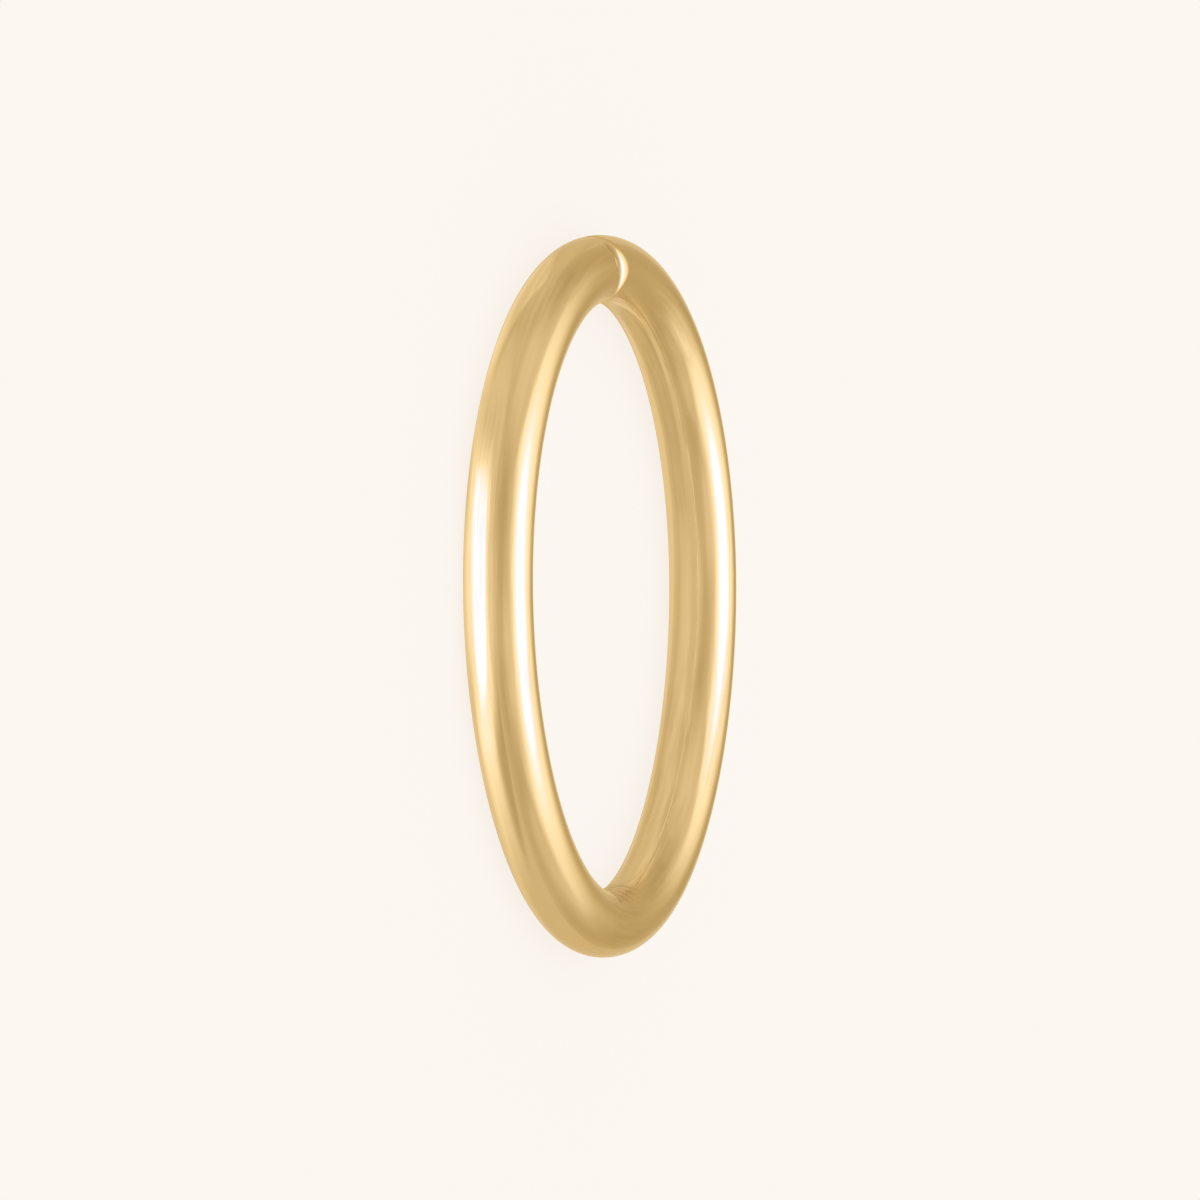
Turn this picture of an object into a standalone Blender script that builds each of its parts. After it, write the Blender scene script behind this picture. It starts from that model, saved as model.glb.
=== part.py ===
"""A seamless hoop: one round gold wire bent into a ring, whose two rounded ends meet at a fine joint.

Lengths are in metres and +Z is up. The hoop lies on its side. The joint is on -X, and the origin is
under the middle of the ring, on the surface that the hoop rests on.
"""

import math

import bmesh
import bpy

MM = 0.001

# A hoop is named by its wire and by the clear width inside the ring.
WIRE_RADIUS = 1.17 * MM / 2
INNER_RADIUS = 10.0 * MM / 2
CENTRELINE_RADIUS = INNER_RADIUS + WIRE_RADIUS

# A wire that is closed round a mandrel springs back a little: the ring is flatter at the joint and
# fuller opposite it. This is a share of the centreline's radius, three waves to the turn.
FLATTENING = 0.0095

# Each end of the wire is cut square and rounded over by hand: furthest on its upper and lower sides, half
# as far on its outer side, and least on its inner side, where a file hardly reaches. The two cut faces
# all but touch.
END_ROUND_LENGTH = 0.30 * MM
END_ROUND_DEPTH = 0.19 * MM
OUTER_ROUNDING = 0.5
INNER_ROUNDING = 0.12
JOINT_GAP = 0.03 * MM

# Facets round the wire, sections along the ring between the rounded ends, and steps in each rounding.
SIDES = 24
SECTIONS = 144
END_STEPS = 5

GOLD_COLOUR = (0.92, 0.66, 0.31, 1.0)
GOLD_ROUGHNESS = 0.1


def clear_scene():
    """Removes whatever the scene starts with."""
    for old in list(bpy.data.objects):
        bpy.data.objects.remove(old, do_unlink=True)


def polished_gold():
    """A bright yellow gold of about 14 carat, with a mirror polish."""
    gold = bpy.data.materials.new("polished_gold")
    gold.use_nodes = True
    shader = gold.node_tree.nodes["Principled BSDF"]
    shader.inputs["Base Color"].default_value = GOLD_COLOUR
    shader.inputs["Metallic"].default_value = 1.0
    shader.inputs["Roughness"].default_value = GOLD_ROUGHNESS
    return gold


def centreline(turn):
    """The middle of the wire, in plan, at an angle of turn radians on from the joint.

    The radius is the mean one with the out-of-round wave taken off. The ring is then moved along X so
    that it reaches as far before the origin as behind it.
    """
    radius = CENTRELINE_RADIUS * (1 - FLATTENING * math.cos(3 * turn))
    to_middle = -FLATTENING * CENTRELINE_RADIUS
    return to_middle - radius * math.cos(turn), -radius * math.sin(turn)


def outward(turn):
    """The unit vector in plan that is square to the centreline and points out of the ring."""
    step = 1e-4
    x_before, y_before = centreline(turn - step)
    x_after, y_after = centreline(turn + step)
    along_x, along_y = x_after - x_before, y_after - y_before
    length = math.hypot(along_x, along_y)
    return along_y / length, -along_x / length


def side_angles():
    """Angles round the wire of its edges, so that its top, bottom, inner and outer sides are flat facets."""
    return [2 * math.pi * (side + 0.5) / SIDES for side in range(SIDES)]


def rounding(angle):
    """How far the ends are rounded at an angle round the wire: fully above and below, less elsewhere."""
    outside = 0.5 + 0.5 * math.cos(angle)
    least = INNER_ROUNDING + (OUTER_ROUNDING - INNER_ROUNDING) * outside
    return least + (1 - least) * math.sin(angle) ** 6


def end_sections():
    """Sections from the cut face to the full wire, in profile a quarter of an ellipse.

    A section is the distance along the wire and the wire's radius, for each of its sides.
    """
    sections = []
    for step in range(END_STEPS):
        swing = 0.5 * math.pi * step / END_STEPS
        section = []
        for angle in side_angles():
            along = JOINT_GAP / 2 + END_ROUND_LENGTH * rounding(angle) * (1 - math.cos(swing))
            radius = WIRE_RADIUS - END_ROUND_DEPTH * rounding(angle) * (1 - math.sin(swing))
            section.append((along, radius))
        sections.append(section)
    return sections


def wire_sections():
    """Sections of the whole wire, from one cut face round the ring to the other."""
    whole = 2 * math.pi * CENTRELINE_RADIUS
    body = []
    for step in range(SECTIONS + 1):
        section = []
        for angle in side_angles():
            start = JOINT_GAP / 2 + END_ROUND_LENGTH * rounding(angle)
            section.append((start + (whole - 2 * start) * step / SECTIONS, WIRE_RADIUS))
        body.append(section)
    first_end = end_sections()
    last_end = [[(whole - along, radius) for along, radius in section] for section in reversed(first_end)]
    return first_end + body + last_end


def section_points(section):
    """The points of one section. The facets lie outside the round wire and touch it at their middles."""
    points = []
    for angle, (along, radius) in zip(side_angles(), section):
        turn = along / CENTRELINE_RADIUS
        x, y = centreline(turn)
        out_x, out_y = outward(turn)
        to_edge = radius / math.cos(math.pi / SIDES)
        out = to_edge * math.cos(angle)
        points.append((x + out * out_x, y + out * out_y, WIRE_RADIUS + to_edge * math.sin(angle)))
    return points


def bend_hoop():
    """The hoop: one wire lofted through its sections, closed by the two cut faces."""
    form = bmesh.new()
    rings = [[form.verts.new(point) for point in section_points(section)] for section in wire_sections()]
    for ring, following in zip(rings, rings[1:]):
        for side in range(SIDES):
            beside = (side + 1) % SIDES
            form.faces.new((ring[side], ring[beside], following[beside], following[side]))
    for cut_face in (rings[0], rings[-1]):
        form.faces.new(cut_face)
    bmesh.ops.recalc_face_normals(form, faces=form.faces)

    mesh = bpy.data.meshes.new("hoop")
    form.to_mesh(mesh)
    form.free()
    mesh.shade_smooth()
    mesh.set_sharp_from_angle(angle=math.radians(40))
    mesh.materials.append(polished_gold())
    hoop = bpy.data.objects.new("hoop", mesh)
    bpy.context.scene.collection.objects.link(hoop)
    return hoop


clear_scene()
bend_hoop()
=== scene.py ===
"""The looks of a seamless gold hoop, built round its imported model. Lengths are in metres and +Z is up."""

import math

import bpy
import numpy as np
from mathutils import Matrix, Vector


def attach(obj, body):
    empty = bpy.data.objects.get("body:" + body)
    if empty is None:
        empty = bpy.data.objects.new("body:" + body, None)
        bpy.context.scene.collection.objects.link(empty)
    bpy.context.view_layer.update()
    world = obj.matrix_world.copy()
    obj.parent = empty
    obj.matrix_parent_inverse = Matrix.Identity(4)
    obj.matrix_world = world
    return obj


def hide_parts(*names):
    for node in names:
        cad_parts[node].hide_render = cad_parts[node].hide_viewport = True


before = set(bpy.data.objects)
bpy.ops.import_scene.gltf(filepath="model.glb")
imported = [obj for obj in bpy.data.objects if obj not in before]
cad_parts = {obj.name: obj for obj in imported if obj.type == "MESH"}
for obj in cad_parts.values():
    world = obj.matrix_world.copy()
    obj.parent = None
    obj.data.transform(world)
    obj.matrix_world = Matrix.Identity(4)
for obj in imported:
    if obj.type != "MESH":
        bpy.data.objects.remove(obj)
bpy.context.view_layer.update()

# The hoop. One round wire of yellow gold is bent into a ring and polished. It lies on its side on the floor
# with its joint on -X. The closed ring has sprung back a little, in three waves to the turn: it is flatter at
# the joint and fuller opposite it.
MM = 0.001
WIRE_RADIUS = 1.17 * MM / 2
INNER_RADIUS = 10.0 * MM / 2
CENTRELINE_RADIUS = INNER_RADIUS + WIRE_RADIUS
FLATTENING = 0.0095
WAVES = 3


def ring_frame(turn):
    """The middle of the wire in plan, and the unit vector out of the ring, at a turn from the joint.

    The radius is the mean one less a small cosine of three times the turn. The outward vector is square
    to the direction in which that curve runs, which is its radius's slope ahead plus its radius across.
    """
    radius = CENTRELINE_RADIUS * (1 - FLATTENING * np.cos(WAVES * turn))
    slope = WAVES * CENTRELINE_RADIUS * FLATTENING * np.sin(WAVES * turn)
    ahead_x, ahead_y = -np.cos(turn), -np.sin(turn)
    across_x, across_y = np.sin(turn), -np.cos(turn)
    along_x = slope * ahead_x + radius * across_x
    along_y = slope * ahead_y + radius * across_y
    length = np.hypot(along_x, along_y)
    middle_x = radius * ahead_x - FLATTENING * CENTRELINE_RADIUS
    return middle_x, radius * ahead_y, along_y / length, -along_x / length


# Its two ends. Each is cut square and rounded over by hand, furthest on its upper and lower sides and least
# on its inner side, where a file hardly reaches. The cut faces all but touch, so that no light comes through.
END_ROUND_LENGTH = 0.30 * MM
END_ROUND_DEPTH = 0.19 * MM
OUTER_ROUNDING = 0.5
INNER_ROUNDING = 0.12
JOINT_GAP = 0.006 * MM

STATIONS_ALONG = 640
STATIONS_IN_ROUNDING = 22
STATIONS_ON_CUT_FACE = 6
POINTS_ROUND = 128
CROWDING_ALONG = 0.7
CROWDING_ROUND = 0.5


def rounding_at(angle):
    """How far the ends are rounded: fully above and below, falling off as the sine's sixth power.

    It falls to the outer or the inner share, blended by the cosine of the angle round the wire.
    """
    outside = 0.5 + 0.5 * np.cos(angle)
    least = INNER_ROUNDING + (OUTER_ROUNDING - INNER_ROUNDING) * outside
    return least + (1 - least) * np.sin(angle) ** 6


def wire_grid():
    """A grid of points on the wire: distance along it, radius, angle round it, and nearness to the cut.

    Across the cut face only the radius grows. On the rounding, a quarter of an ellipse, the distance goes
    as 1 - cos and the lost radius as 1 - sin of one angle, and both are scaled by how far that side is
    rounded. Between the two roundings the radius is full. A sine of the position crowds the stations
    towards the joint and the point opposite it, and another crowds the points towards the inner side.
    """
    even_round = np.linspace(0, 2 * np.pi, POINTS_ROUND, endpoint=False)
    angle = np.pi + even_round - CROWDING_ROUND * np.sin(even_round)
    rounding = rounding_at(angle)
    face = np.linspace(0, 1, STATIONS_ON_CUT_FACE + 1)[1:-1, None]
    swing = 0.5 * np.pi * np.linspace(0, 1, STATIONS_IN_ROUNDING, endpoint=False)[:, None]
    lip_radius = WIRE_RADIUS - END_ROUND_DEPTH * rounding
    face_along = np.full((len(face), POINTS_ROUND), JOINT_GAP / 2)
    end_along = JOINT_GAP / 2 + END_ROUND_LENGTH * rounding * (1 - np.cos(swing))
    end_radius = WIRE_RADIUS - END_ROUND_DEPTH * rounding * (1 - np.sin(swing))

    whole = 2 * np.pi * CENTRELINE_RADIUS
    start = JOINT_GAP / 2 + END_ROUND_LENGTH * rounding
    even = np.linspace(0, 1, STATIONS_ALONG + 1)
    crowded = (even - CROWDING_ALONG * np.sin(4 * np.pi * even) / (4 * np.pi))[:, None]
    body_along = start + (whole - 2 * start) * crowded
    first_along = np.concatenate([face_along, end_along])
    first_radius = np.concatenate([lip_radius * face, end_radius])
    along = np.concatenate([first_along, body_along, whole - first_along[::-1]])
    radius = np.concatenate([first_radius, np.full_like(body_along, WIRE_RADIUS), first_radius[::-1]])
    cut = np.minimum((WIRE_RADIUS - radius) / (END_ROUND_DEPTH * rounding), 1)
    return along, radius, np.broadcast_to(angle, along.shape), cut


# Old marks. Inside the ring, opposite the joint, a punched purity stamp is worn down to three rows of strokes
# that can't be read. Beside the joint a file has slipped and left two nicks and a long shallow mark.
DEGREE = math.pi / 180
OPPOSITE = math.pi * CENTRELINE_RADIUS

# A mark is its place along the wire, its angle round it, half its size along and round, and its depth. The
# angle is 0 outwards, 90 upwards and 180 inwards.
MARKS = [
    (0.25 * MM, 48, 0.040 * MM, 0.09 * MM, 0.018 * MM),
    (0.32 * MM, 72, 0.030 * MM, 0.10 * MM, 0.014 * MM),
    (0.75 * MM, 24, 0.50 * MM, 0.06 * MM, 0.005 * MM),
]

# A row is given by its angle opposite the joint, and it slants by so many degrees to a metre of wire. Each
# stroke strays from its even place, angle and depth by a sine of its number and its row's.
STROKE_ROWS = (150, 167, 185)
STROKE_SLANT = 20 / MM
STROKES = 13
FIRST_STROKE = OPPOSITE - 1.22 * MM
STROKE_PITCH = 0.13 * MM
STROKE_HALF_ALONG = 0.05 * MM
STROKE_HALF_ROUND = 0.07 * MM
STROKE_DEPTH = 0.010 * MM
ROW_SHIFT = 0.4
STRAYED_PITCHES = 0.3
STRAYED_DEGREES = 5
STRAYED_DEPTHS = 0.5

for row, row_angle in enumerate(STROKE_ROWS):
    for stroke in range(STROKES):
        strayed = math.sin(2.4 * stroke + 1.7 * row)
        stroke_along = FIRST_STROKE + STROKE_PITCH * (stroke + ROW_SHIFT * row + STRAYED_PITCHES * strayed)
        stroke_angle = row_angle + STROKE_SLANT * (stroke_along - OPPOSITE) + STRAYED_DEGREES * strayed
        stroke_depth = STROKE_DEPTH * (1 + STRAYED_DEPTHS * strayed)
        MARKS.append((stroke_along, stroke_angle, STROKE_HALF_ALONG, STROKE_HALF_ROUND, stroke_depth))


def angle_from(angle, side):
    """How far an angle is past a side of the wire, from minus to plus half a turn. The side is in degrees."""
    return np.remainder(angle - side * DEGREE + np.pi, 2 * np.pi) - np.pi


def worn(along, angle):
    """How deep the marks are at each point: a bell curve of the distances along and round, for each."""
    depth = np.zeros(along.shape)
    for middle, side, half_along, half_round, deepest in MARKS:
        steps = (along - middle) / half_along
        swings = WIRE_RADIUS * angle_from(angle, side) / half_round
        depth = depth + deepest * np.exp(-steps ** 2 - swings ** 2)
    return depth


def wire_surface(along, radius, angle):
    """Points of the wire: its middle, plus the radius times cos outward and times sin upward."""
    middle_x, middle_y, out_x, out_y = ring_frame(along / CENTRELINE_RADIUS)
    out = radius * np.cos(angle)
    points = [middle_x + out * out_x, middle_y + out * out_y, WIRE_RADIUS + radius * np.sin(angle)]
    return np.stack(points, axis=-1)


def closed_wire(name, grid, poles):
    """A mesh of the grid's quads, joined across its seam, with a fan of triangles to a pole at each end."""
    rows, columns = grid.shape[:2]
    index = np.arange(rows * columns).reshape(rows, columns)
    beside = np.roll(index, -1, axis=1)
    quads = np.stack([index[:-1], index[1:], beside[1:], beside[:-1]], axis=-1).reshape(-1, 4)
    first_pole, last_pole = rows * columns, rows * columns + 1
    first_fan = np.stack([index[0], beside[0], np.full(columns, first_pole)], axis=-1)
    last_fan = np.stack([beside[-1], index[-1], np.full(columns, last_pole)], axis=-1)
    vertices = np.concatenate([grid.reshape(-1, 3), poles])
    mesh = bpy.data.meshes.new(name)
    mesh.from_pydata(vertices.tolist(), [], quads.tolist() + first_fan.tolist() + last_fan.tolist())
    mesh.shade_smooth()
    made = bpy.data.objects.new(name, mesh)
    bpy.context.scene.collection.objects.link(made)
    return made


along, radius, angle, cut = wire_grid()
depth = worn(along, angle)
radius = radius - depth
surface = wire_surface(along, radius, angle)
ends_along = np.array([JOINT_GAP / 2, 2 * np.pi * CENTRELINE_RADIUS - JOINT_GAP / 2])
poles = wire_surface(ends_along, np.zeros(2), np.zeros(2))
hoop = closed_wire("gold_hoop", surface, poles)

# The wire's own coordinates, as if it were still a straight rod: two across it and the distance along it.
# Textures that were drawn or polished along the wire follow them.
rod = np.stack([radius * np.cos(angle), radius * np.sin(angle), along], axis=-1).reshape(-1, 3)
rod_poles = np.stack([np.zeros(2), np.zeros(2), ends_along], axis=-1)
straight = hoop.data.attributes.new("straight_wire", "FLOAT_VECTOR", "POINT")
straight.data.foreach_set("vector", np.concatenate([rod, rod_poles]).astype(np.float32).ravel())


def keep_on_wire(name, values, at_poles):
    """Keeps a number for each point of the grid in an attribute of the mesh, and one for both its poles."""
    kept = hoop.data.attributes.new(name, "FLOAT", "POINT")
    kept.data.foreach_set("value", np.append(values, [at_poles, at_poles]).astype(np.float32))


keep_on_wire("towards_cut", cut, 1)
keep_on_wire("in_marks", np.minimum(depth / STROKE_DEPTH, 1), 0)

# The places inside the ring that are rubbed dull: round the stamp, and on both ends at the joint. Each is
# given by its middle along the wire, its angle round it and half its length.
RUBBED_PLACES = [
    (OPPOSITE - 0.45 * MM, 160, 0.95 * MM),
    (0, 174, 0.5 * MM),
    (2 * OPPOSITE, 174, 0.5 * MM),
]
RUBBED_HALF_WIDTH = 0.46 * MM


def rubbed(along, angle):
    """How rubbed each point is: e to minus the fourth powers of the shares of the half length and width."""
    share = np.zeros(along.shape)
    for middle, side, half_length in RUBBED_PLACES:
        lengths = (along - middle) / half_length
        widths = WIRE_RADIUS * angle_from(angle, side) / RUBBED_HALF_WIDTH
        share = share + np.exp(-lengths ** 4 - widths ** 4)
    return share


keep_on_wire("rubbed", rubbed(along, angle), 0)

# Its finish: the wheel leaves faint lines along the wire and a haze that comes and goes. The cut faces and
# the old marks, which no wheel reaches, stay dull and darker.
GOLD_EDGE_TINT = (0.978, 0.87, 0.66, 1)
CLEAR_GOLD = (0.945, 0.682, 0.324, 1)
HAZY_GOLD = (0.938, 0.668, 0.309, 1)
LINED_GOLD = (0.86, 0.607, 0.276, 1)
WORN_GOLD = (0.66, 0.455, 0.195, 1)
FILED_GOLD = (0.92, 0.65, 0.25, 1)
CUT_GOLD = (0.42, 0.25, 0.09, 1)

# How much of each lies over the one before, at its fullest.
WORN_IN_MARKS = 0.75
WORN_WHERE_RUBBED = 0.2
FILED_SHARE = 0.6
LEAST_LINED = 0.15

# The roughness of the polish itself, and what each of the rest adds to it.
POLISH_ROUGHNESS = 0.05
HAZE_ROUGHNESS = 0.05
LINE_ROUGHNESS = 0.03
FILED_ROUGHNESS = 0.17
CUT_ROUGHNESS = 0.1
MARK_ROUGHNESS = 0.1
RUBBED_ROUGHNESS = 0.2

LINE_HEIGHT = 2.5
RIPPLE_HEIGHT = 3.0
RELIEF_STEP = 0.0006 * MM


class Term:
    """An output socket in a node tree. Python's operators on it add Math nodes to that tree."""

    def __init__(self, tree, socket=None):
        self.tree = tree
        self.socket = socket

    def node(self, kind, settings, inputs, output=0):
        """Adds a node of this kind: first its settings, then its sockets' values or links."""
        made = self.tree.nodes.new(kind)
        for name, value in settings.items():
            setattr(made, name, value)
        for name, value in inputs.items():
            if isinstance(value, Term):
                self.tree.links.new(value.socket, made.inputs[name])
            else:
                made.inputs[name].default_value = value
        return Term(self.tree, made.outputs[output] if made.outputs else None)

    def part(self, output):
        """Another output of the node that this one comes from."""
        return Term(self.tree, self.socket.node.outputs[output])

    def math(self, operation, *values):
        """Adds a Math node that works on these values."""
        return self.node("ShaderNodeMath", {"operation": operation}, dict(enumerate(values)))

    def __add__(self, other):
        return self.math("ADD", self, other)

    __radd__ = __add__

    def __sub__(self, other):
        return self.math("SUBTRACT", self, other)

    def __rsub__(self, other):
        return self.math("SUBTRACT", other, self)

    def __mul__(self, other):
        return self.math("MULTIPLY", self, other)

    __rmul__ = __mul__

    def __truediv__(self, other):
        return self.math("DIVIDE", self, other)

    def __pow__(self, other):
        return self.math("POWER", self, other)

    def __rpow__(self, other):
        return self.math("POWER", other, self)

    def __abs__(self):
        return self.math("ABSOLUTE", self)


def soft_edge(value, start, end):
    """0 before start and 1 after end, with an S-curve between. Start may be the greater."""
    return value.node(
        "ShaderNodeMapRange", {"interpolation_type": "SMOOTHSTEP"},
        {"Value": value, "From Min": start, "From Max": end},
    )


gold = bpy.data.materials.new("polished_gold")
gold.use_nodes = True
gold.node_tree.nodes.clear()
metal = Term(gold.node_tree)
on_rod = metal.node("ShaderNodeAttribute", {"attribute_name": "straight_wire"}, {}, "Vector")
at_cut = metal.node("ShaderNodeAttribute", {"attribute_name": "towards_cut"}, {}, "Fac")
at_mark = metal.node("ShaderNodeAttribute", {"attribute_name": "in_marks"}, {}, "Fac")
at_rub = metal.node("ShaderNodeAttribute", {"attribute_name": "rubbed"}, {}, "Fac")


def rod_noise(across, lengthwise, detail):
    """Noise on the straight rod, with this many features to a millimetre across it and along it."""
    per_metre = (across / MM, across / MM, lengthwise / MM)
    stretched = metal.node("ShaderNodeMapping", {}, {"Vector": on_rod, "Scale": per_metre})
    return metal.node("ShaderNodeTexNoise", {}, {"Vector": stretched, "Scale": 1.0, "Detail": detail})


wheel_lines = rod_noise(across=14.0, lengthwise=0.9, detail=2.0)
haze = rod_noise(across=1.6, lengthwise=0.7, detail=3.0)
ripple = rod_noise(across=2.2, lengthwise=1.1, detail=1.0)
scuffed = soft_edge(rod_noise(across=0.8, lengthwise=0.35, detail=1.0), 0.45, 0.6)
streaks = soft_edge(wheel_lines, 0.36, 0.64) * (LEAST_LINED + (1 - LEAST_LINED) * scuffed)
dull = soft_edge(at_cut, 0.25, 0.55)
rounded = soft_edge(at_cut, 0.0, 0.08)
polish = POLISH_ROUGHNESS + HAZE_ROUGHNESS * haze + LINE_ROUGHNESS * wheel_lines
finish = polish + FILED_ROUGHNESS * rounded + CUT_ROUGHNESS * dull
roughness = finish + MARK_ROUGHNESS * at_mark + RUBBED_ROUGHNESS * at_rub


def tinted(share, under, over):
    """One colour laid over another by this share, as a Mix node."""
    return metal.node("ShaderNodeMix", {"data_type": "RGBA"}, {0: share, 6: under, 7: over}, 2)


hazed = tinted(soft_edge(haze, 0.35, 0.7), CLEAR_GOLD, HAZY_GOLD)
lined = tinted(streaks, hazed, LINED_GOLD)
marked = tinted(WORN_IN_MARKS * at_mark + WORN_WHERE_RUBBED * at_rub, lined, WORN_GOLD)
filed = tinted(FILED_SHARE * rounded, marked, FILED_GOLD)
colour = tinted(dull, filed, CUT_GOLD)
height = LINE_HEIGHT * wheel_lines + RIPPLE_HEIGHT * ripple
relief = metal.node("ShaderNodeBump", {}, {"Height": height, "Strength": 1.0, "Distance": RELIEF_STEP})
coat = metal.node(
    "ShaderNodeBsdfPrincipled", {},
    {
        "Base Color": colour, "Metallic": 1.0, "Specular Tint": GOLD_EDGE_TINT,
        "Roughness": roughness, "Normal": relief,
    },
)

# Seen nearly edge-on, the polish's own fine scratches scatter the light, and the gold stays golden there.
MATT_GOLD = (0.74, 0.53, 0.235, 1)
MATT_MARK = (0.36, 0.235, 0.085, 1)

scratches = tinted(at_mark, MATT_GOLD, MATT_MARK)
scatter = metal.node(
    "ShaderNodeBsdfPrincipled", {}, {"Base Color": scratches, "Roughness": 1.0, "Specular IOR Level": 0.0}
)
edge_on = soft_edge(metal.node("ShaderNodeLayerWeight", {}, {"Blend": 0.5}, "Facing"), 0.78, 0.94)
skin = metal.node("ShaderNodeMixShader", {}, {0: edge_on, 1: coat, 2: scatter})
metal.node("ShaderNodeOutputMaterial", {}, {"Surface": skin})
hoop.data.materials.append(gold)
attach(hoop, "root")
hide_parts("hoop")

# The studio. Its lights are all round the hoop and far from it, so they are painted on the world, where
# the gold mirrors them. Each is given by the tone, from 0 to 255, that it has in the polished gold.
CREAM = (0.9734, 0.9301, 0.8796, 1)
GOLD = (0.92, 0.66, 0.31)
TONE_STEPS = {"Red": 32, "Green": 0, "Blue": -57}

# The brightest tone of all, and the one at which a channel is full. Green rises slower from its shoulder.
BRIGHTEST_TONE = 316
WHITE_TONE = 259
GREEN_SHOULDER = 226
GREEN_RISE = 0.36

# What the brightest tone loses with each reflection after the first, and what it is left with at least.
LOST_TONE = 115
DEEP_TONE = 162


def light_for_tone(tone):
    """The light that gold shows as this tone: a display's curve undone, over the gold's own colour.

    In soft light polished gold keeps its red above and its blue below its green by about the same steps,
    until a highlight holds its green back. The curve is undone by the power of 2.4 that displays use, and
    the light is divided by the gold's colour once for each reflection, so that it isn't orange. What
    comes from deeper between the limbs is plain and dim.
    """
    depth = tone.node("ShaderNodeLightPath", {}, {}, "Glossy Depth")
    brightest = tone.math("MAXIMUM", BRIGHTEST_TONE - LOST_TONE * (depth - 1.0), DEEP_TONE)
    tone = tone.math("MINIMUM", tone, brightest)
    channels = {}
    for share, (name, step) in zip(GOLD, TONE_STEPS.items()):
        shown = tone.math("MINIMUM", tone + step, WHITE_TONE)
        if name == "Green":
            shown = tone.math("MINIMUM", shown, GREEN_SHOULDER + GREEN_RISE * (tone - GREEN_SHOULDER))
        channels[name] = ((shown / 255 + 0.055) / 1.055) ** 2.4 * (1 / share) ** depth
    return tone.node("ShaderNodeCombineColor", {}, channels)


studio = bpy.data.worlds.new("studio")
studio.use_nodes = True
studio.cycles.sampling_method = "NONE"
studio.node_tree.nodes.clear()
bpy.context.scene.world = studio
sky = Term(studio.node_tree)
direction = sky.node("ShaderNodeTexCoord", {}, {}, "Generated")
x = direction.node("ShaderNodeSeparateXYZ", {}, {0: direction})
y = x.part("Y")
z = x.part("Z")
elevation = sky.math("ARCSINE", z) / DEGREE
azimuth = sky.math("ARCTAN2", x, 0 - y) / DEGREE

# Pale walls, a little lighter near the floor.
WALL_TONE = 157.0
LIGHTER_NEAR_FLOOR = 16.0
FADES_IN_DEGREES = 12.0

low = sky.math("EXPONENT", abs(elevation) / -FADES_IN_DEGREES)
tone = WALL_TONE + LIGHTER_NEAR_FLOOR * low

# The scrim overhead, a sheet of diffusing cloth in plan: its own light, a glow across it towards the back
# wall, and the hot spot of the lamp above it.
SCRIM_LIGHTER = 33.0
GLOW_LIGHTER = 56.0
LAMP_LIGHTER = 146.0
LEAST_LEVEL = 0.02

level = sky.math("MAXIMUM", z, LEAST_LEVEL)
plan_x = x / level
plan_y = y / level
tone = tone + SCRIM_LIGHTER * (
    soft_edge(plan_x, -0.86, -0.62) * soft_edge(plan_x, 1.28, 0.90)
    * soft_edge(plan_y, -0.92, 0.08) * soft_edge(plan_y, 1.84, 0.20)
)


def lamp_glow(middle_x, middle_y, half_x, half_y):
    """A bell curve in plan, with a middle and a half size each way."""
    spread = ((plan_x - middle_x) / half_x) ** 2.0 + ((plan_y - middle_y) / half_y) ** 2.0
    return sky.math("EXPONENT", 0 - spread)


tone = tone + GLOW_LIGHTER * lamp_glow(middle_x=0.04, middle_y=0.63, half_x=1.1, half_y=1.5)
tone = tone + LAMP_LIGHTER * lamp_glow(middle_x=0.08, middle_y=0.11, half_x=0.47, half_y=0.36)


def band(value, middle, half, blur):
    """1 within half of the middle and 0 beyond, with edges that take the blur to either side."""
    return soft_edge(abs(value - middle), half + blur, half - blur)


# The panels that stand round it, in degrees: azimuth from the camera's side towards +X, with half a width
# and a blur, height above the horizon, with half a height and a blur, and last how much lighter each is.
PANELS = {
    "window": (-86, 27, 20, 25, 16, 12, 28),
    "reflector": (106, 35, 10, 28, 9, 9, 19),
    "front_card": (24, 23, 14, 39, 3, 28, 33),
    "front_glow": (-6, 12, 42, 6, 3, 25, 60),
    "back_shade": (168, 59, 11, 13, 15, 3, -6),
}
for facing, half_width, side_blur, upward, half_height, edge_blur, lighter in PANELS.values():
    apart = abs(sky.math("WRAP", azimuth - facing, 180, -180))
    panel = soft_edge(apart, half_width + side_blur, half_width - side_blur)
    tone = tone + lighter * (panel * band(elevation, upward, half_height, edge_blur))

# The floor is lit by a plain even light instead, and the camera sees cream paper beyond it.
rays = sky.node("ShaderNodeLightPath", {}, {}, "Is Camera Ray")
even_light = sky.node("ShaderNodeBackground", {}, {"Color": (1, 1, 1, 1)})
mirrored = sky.node("ShaderNodeBackground", {}, {"Color": light_for_tone(tone)})
paper = sky.node("ShaderNodeBackground", {}, {"Color": CREAM})
unseen = sky.node("ShaderNodeMixShader", {}, {0: rays.part("Is Glossy Ray"), 1: even_light, 2: mirrored})
all_round = sky.node("ShaderNodeMixShader", {}, {0: rays, 1: unseen, 2: paper})
sky.node("ShaderNodeOutputWorld", {}, {"Surface": all_round})

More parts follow.
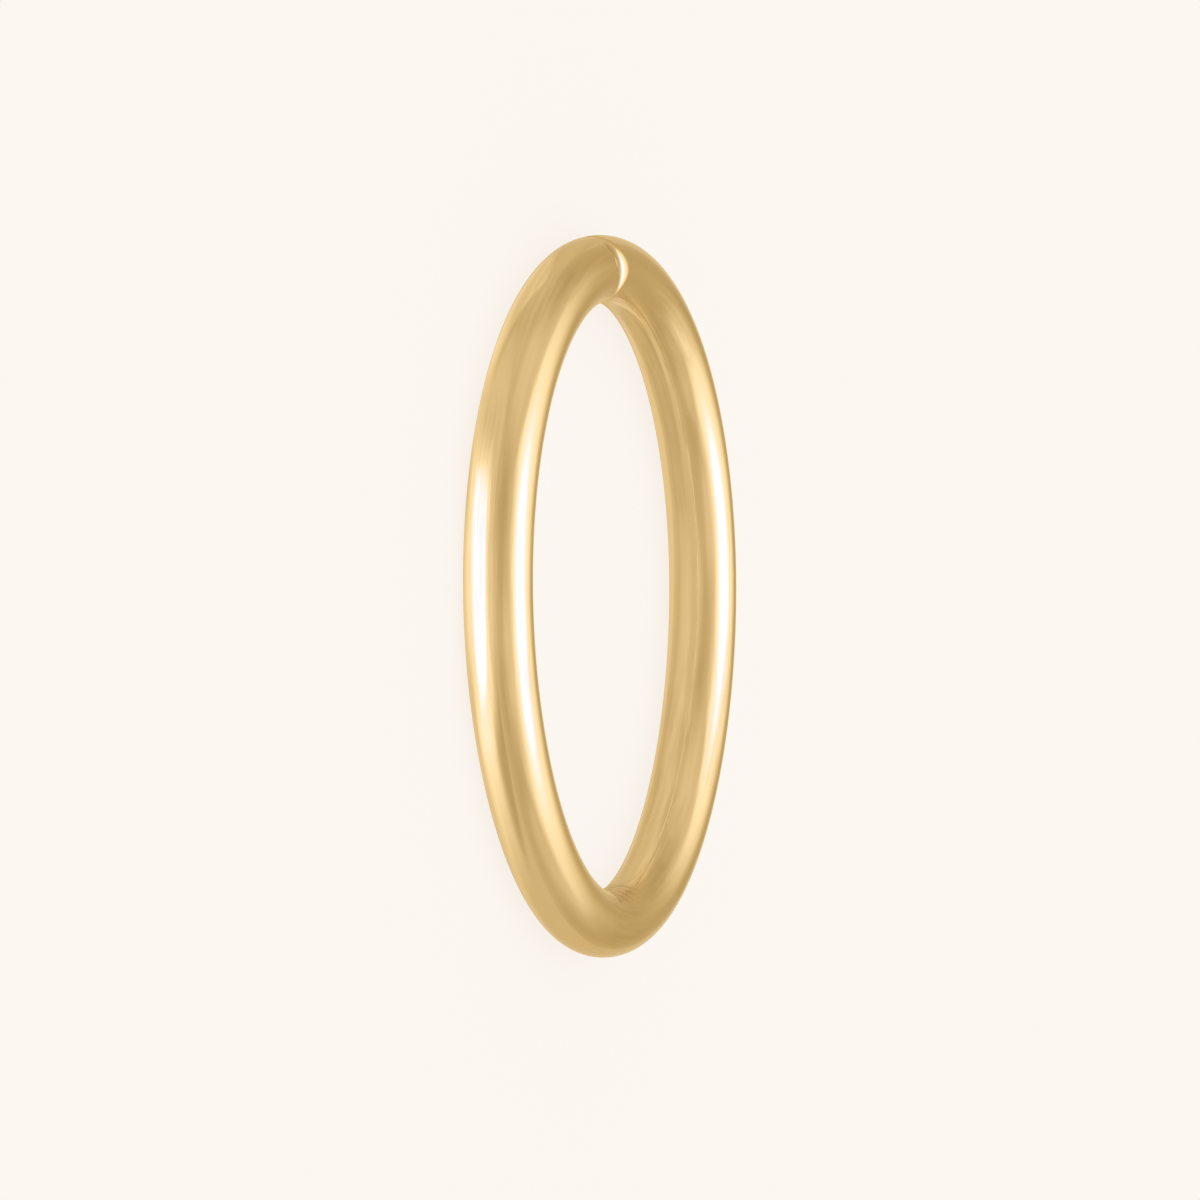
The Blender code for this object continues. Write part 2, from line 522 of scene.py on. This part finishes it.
# The floor, a sheet of cream acrylic lit from below as well as from above, so that shadows on it are faint.
FLOOR_WIDTH = 0.8
FLOOR_GLOW = 0.87
bpy.ops.mesh.primitive_plane_add(size=FLOOR_WIDTH)
floor = bpy.context.object
floor.name = "floor"
acrylic = bpy.data.materials.new("cream_acrylic")
acrylic.use_nodes = True
acrylic.node_tree.nodes.clear()
acrylic.cycles.emission_sampling = "NONE"
sheet = Term(acrylic.node_tree)
spot = sheet.node("ShaderNodeTexCoord", {}, {}, "Object")
floor_x = spot.node("ShaderNodeSeparateXYZ", {}, {0: spot}) / MM
floor_y = floor_x.node("ShaderNodeSeparateXYZ", {}, {0: spot}, "Y") / MM
reach = sheet.math("SQRT", floor_x * floor_x + floor_y * floor_y)
turn = sheet.math("ARCTAN2", 0 - floor_y, 0 - floor_x) / DEGREE

# Painted reflections: tones that the floor shows only in the gold's mirror and never to the camera, by
# millimetres from the ring's middle and degrees from the joint towards the camera. At the camera's side a
# painted oval of light, as of a white card just outside the ring, with painted light spilling round it. Left
# of that a painted straight edge runs past the ring, lighter on the ring's side.
OUTSIDE_TONE = 176.0
FRONT_LIGHTER = 12.0
SPILL_LIGHTER = 45.0
TAIL_LIGHTER = 54.0
PAINTED_CARD_LIGHTER = 43.0
PAINTED_CARD_MIDDLE_LIGHTER = 32.0
PAST_PAINTED_CARD_DARKER = 21.0
PAINTED_EDGE_LIGHTER = 19.0
PAINTED_EDGE_LINE_DARKER = 11.0
UNDER_WIRE_LIGHTER = 16.0
PAINTED_CARD_MIDDLE = (-0.80, -6.1)
PAINTED_CARD_HALF_SIZE = (2.25, 1.2)
PAINTED_EDGE_FACES = 48.6

front = FRONT_LIGHTER * band(turn, 75, 38, 8) + FRONT_LIGHTER * band(turn, 86, 14, 10)
off_wire = soft_edge(reach, 5.82, 6.16)
at_painted_card = band(turn, 84, 24, 7)
spill = SPILL_LIGHTER * at_painted_card * soft_edge(reach, 9.4, 7.0) * off_wire
tail_turns = soft_edge(turn, 150, 104) * soft_edge(turn, 98, 112)
tail = TAIL_LIGHTER * tail_turns * soft_edge(reach, 7.3, 6.35) * off_wire
# A painted oval of light, seen only in the gold's mirror.
painted_card_x = (floor_x - PAINTED_CARD_MIDDLE[0]) / PAINTED_CARD_HALF_SIZE[0]
painted_card_y = (floor_y - PAINTED_CARD_MIDDLE[1]) / PAINTED_CARD_HALF_SIZE[1]
oval = sheet.math("SQRT", painted_card_x * painted_card_x + painted_card_y * painted_card_y)
painted_card_glow = PAINTED_CARD_LIGHTER + PAINTED_CARD_MIDDLE_LIGHTER * soft_edge(abs(painted_card_x), 1.0, 0.72)
painted_card = painted_card_glow * soft_edge(oval, 1.12, 0.92) * soft_edge(reach, 6.13, 6.25)
past_painted_card = PAST_PAINTED_CARD_DARKER * band(turn, 125, 15, 8) * soft_edge(reach, 6.7, 7.9)
# A painted straight edge with a darker line along it, seen only in the gold's mirror.
across = reach * sheet.math("COSINE", (turn - PAINTED_EDGE_FACES) * DEGREE)
painted_edge_turns = soft_edge(turn, 50, 36) * soft_edge(turn, 2, 10)
painted_edge_side = PAINTED_EDGE_LIGHTER * soft_edge(across, 6.20, 6.02) * painted_edge_turns
painted_edge_line = PAINTED_EDGE_LINE_DARKER * band(across, 6.27, 0.06, 0.1) * band(turn, 36, 8, 6)
under_wire = UNDER_WIRE_LIGHTER * soft_edge(reach, 6.3, 5.9) * (1.0 - at_painted_card)
camera_side = front + spill + tail + painted_card - past_painted_card
outside = OUTSIDE_TONE + camera_side + painted_edge_side - painted_edge_line + under_wire

# Inside the ring the painted reflection is plainer: painted light just under the wire, then a painted dark
# line, a light patch and a dark one.
INSIDE_TONE = 179.0
RIM_LIGHTER = 18.0
LINE_DARKER = 8.0
PATCH_LIGHTER = 11.0
PATCH_DARKER = 13.0

rim = soft_edge(reach, 5.10, 5.22)
dark_line = band(reach, 4.96, 0.06, 0.1)
light_patch = band(turn, -112, 24, 8) * band(reach, 4.2, 0.55, 0.35)
dark_patch = band(turn, -62, 16, 8) * band(reach, 4.0, 0.9, 0.5)
near_wire = INSIDE_TONE + RIM_LIGHTER * rim - LINE_DARKER * dark_line
inside = near_wire + PATCH_LIGHTER * light_patch - PATCH_DARKER * dark_patch
painted_reflection_tone = inside + (outside - inside) * soft_edge(reach, 5.5, 5.7)

matt = sheet.node("ShaderNodeBsdfDiffuse", {}, {"Color": CREAM})
glow = sheet.node("ShaderNodeEmission", {}, {"Color": CREAM})
seen = sheet.node("ShaderNodeMixShader", {}, {0: FLOOR_GLOW, 1: matt, 2: glow})
# The painted reflections glow only for rays that the gold reflects. The camera sees the plain cream floor.
painted_reflection = sheet.node("ShaderNodeEmission", {}, {"Color": light_for_tone(painted_reflection_tone)})
glossy = sheet.node("ShaderNodeLightPath", {}, {}, "Is Glossy Ray")
both = sheet.node("ShaderNodeMixShader", {}, {0: glossy, 1: seen, 2: painted_reflection})
sheet.node("ShaderNodeOutputMaterial", {}, {"Surface": both})
floor.data.materials.append(acrylic)

# The camera looks at the hoop as in the photograph, 18 degrees above the ring's plane, and is turned on its
# side, so that the hoop that lies on the floor stands upright in the picture.
PHOTO_SIDE = 1200
RING_MIDDLE_PIXEL = (603.0, 593.3)
PIXELS_PER_METRE = 327.04 / CENTRELINE_RADIUS
CAMERA_DISTANCE = 43.15 * CENTRELINE_RADIUS
CAMERA_ELEVATION = 18.234 * DEGREE
CAMERA_AZIMUTH = -5.75 * DEGREE
CAMERA_ROLL = -0.289 * DEGREE
SENSOR_WIDTH = 36

back = Vector((
    math.sin(CAMERA_AZIMUTH) * math.cos(CAMERA_ELEVATION),
    -math.cos(CAMERA_AZIMUTH) * math.cos(CAMERA_ELEVATION),
    math.sin(CAMERA_ELEVATION),
))
right = (Vector((0, 0, 1)) - back * back.z).normalized()
right = Matrix.Rotation(CAMERA_ROLL, 3, back) @ right
up = back.cross(right)
lens = bpy.data.cameras.new("photo_view")
lens.sensor_width = SENSOR_WIDTH
lens.lens = SENSOR_WIDTH * PIXELS_PER_METRE * CAMERA_DISTANCE / PHOTO_SIDE
camera = bpy.data.objects.new("photo_view", lens)
bpy.context.scene.collection.objects.link(camera)
ring_middle = Vector((-FLATTENING * CENTRELINE_RADIUS, 0, WIRE_RADIUS))
aside = (RING_MIDDLE_PIXEL[0] - PHOTO_SIDE / 2) / PIXELS_PER_METRE
above = (PHOTO_SIDE / 2 - RING_MIDDLE_PIXEL[1]) / PIXELS_PER_METRE
stand = ring_middle + back * CAMERA_DISTANCE - right * aside - up * above
camera.matrix_world = Matrix.Translation(stand) @ Matrix((right, up, back)).transposed().to_4x4()
bpy.context.scene.camera = camera
bpy.context.scene.view_settings.view_transform = "Standard"
